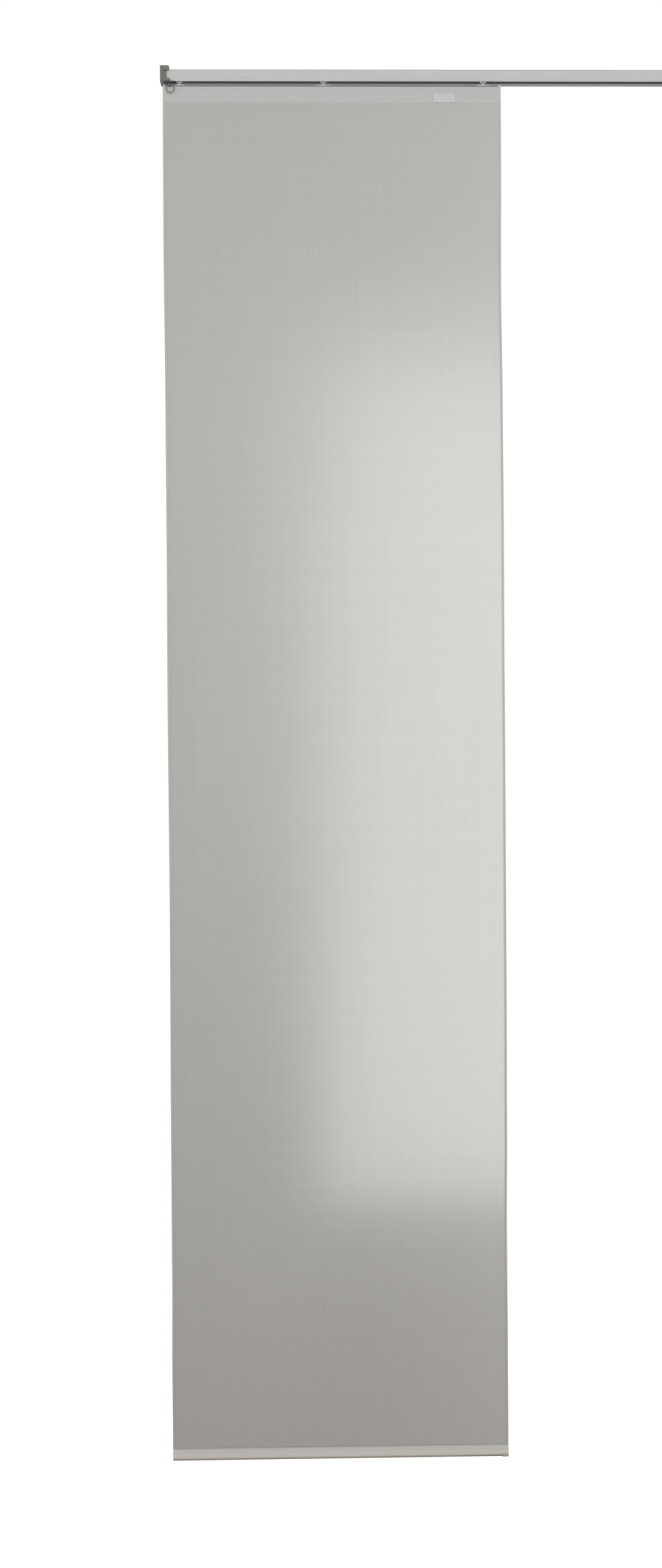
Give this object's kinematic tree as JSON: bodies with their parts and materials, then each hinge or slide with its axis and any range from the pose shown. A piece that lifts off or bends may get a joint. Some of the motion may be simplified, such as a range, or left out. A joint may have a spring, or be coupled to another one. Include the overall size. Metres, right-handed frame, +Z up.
{
  "type": "sliding panel curtain",
  "caption": "Flat cloth panel hooked to a carrier strip that slides on gliders along a slotted ceiling rail with end brackets and end stops.",
  "frame": {"origin": "on the ceiling face of the left end bracket, at the middle of its end block, on the rail's centre plane", "axes": "+X along the rail towards the open side, +Y to the back (the room side is -Y), +Z up to the ceiling"},
  "size_m": [1.2, 0.0254, 2.4817],
  "materials": {
    "rail_coat": "satin pale grey coat on an extrusion",
    "zinc": "matt grey zinc casting",
    "stop_zinc": "dark grey zinc casting",
    "screw_steel": "blackened steel",
    "ring_nickel": "dull nickel-plated wire",
    "carrier_aluminium": "mill-finish aluminium",
    "nylon": "white nylon",
    "tape": "white hook and loop tape",
    "cloth": "fine plain-weave off-white polyester that lets light through",
    "label_satin": "bare white satin label",
    "bar_aluminium": "mill-finish aluminium",
    "clip_plastic": "grey-green half-clear plastic"
  },
  "bodies": {
    "rail": {"rail": "rail_coat", "bracket_left": "zinc", "bracket_right": "zinc", "clamp_screw_left": "screw_steel", "clamp_screw_right": "screw_steel", "end_stop_left": "stop_zinc", "end_stop_right": "stop_zinc", "stop_screw_left": "screw_steel", "stop_screw_right": "screw_steel"},
    "panel": {"carrier": "carrier_aluminium", "carrier_cap_left": "nylon", "carrier_cap_right": "nylon", "glider_1": "nylon", "glider_2": "nylon", "glider_3": "nylon", "hook_tape": "tape", "loop_tape": "tape", "cloth": "cloth", "care_label": "label_satin", "weight_bar": "bar_aluminium", "bar_clip": "clip_plastic"},
    "ring_left": {"ring_left": "ring_nickel"},
    "ring_right": {"ring_right": "ring_nickel"}
  },
  "joints": [
    {"name": "panel_slide", "type": "slide", "parent": "rail", "child": "panel", "axis": [1, 0, 0], "range_m": [0, 0.59]},
    {"name": "ring_left_swing", "type": "hinge", "parent": "rail", "child": "ring_left", "pos_m": [0.014, -0.0108, -0.0331], "axis": [-1, 0, 0], "range_deg": [0, 130]},
    {"name": "ring_right_swing", "type": "hinge", "parent": "rail", "child": "ring_right", "pos_m": [1.1784, -0.0108, -0.0331], "axis": [-1, 0, 0], "range_deg": [0, 130]}
  ]
}
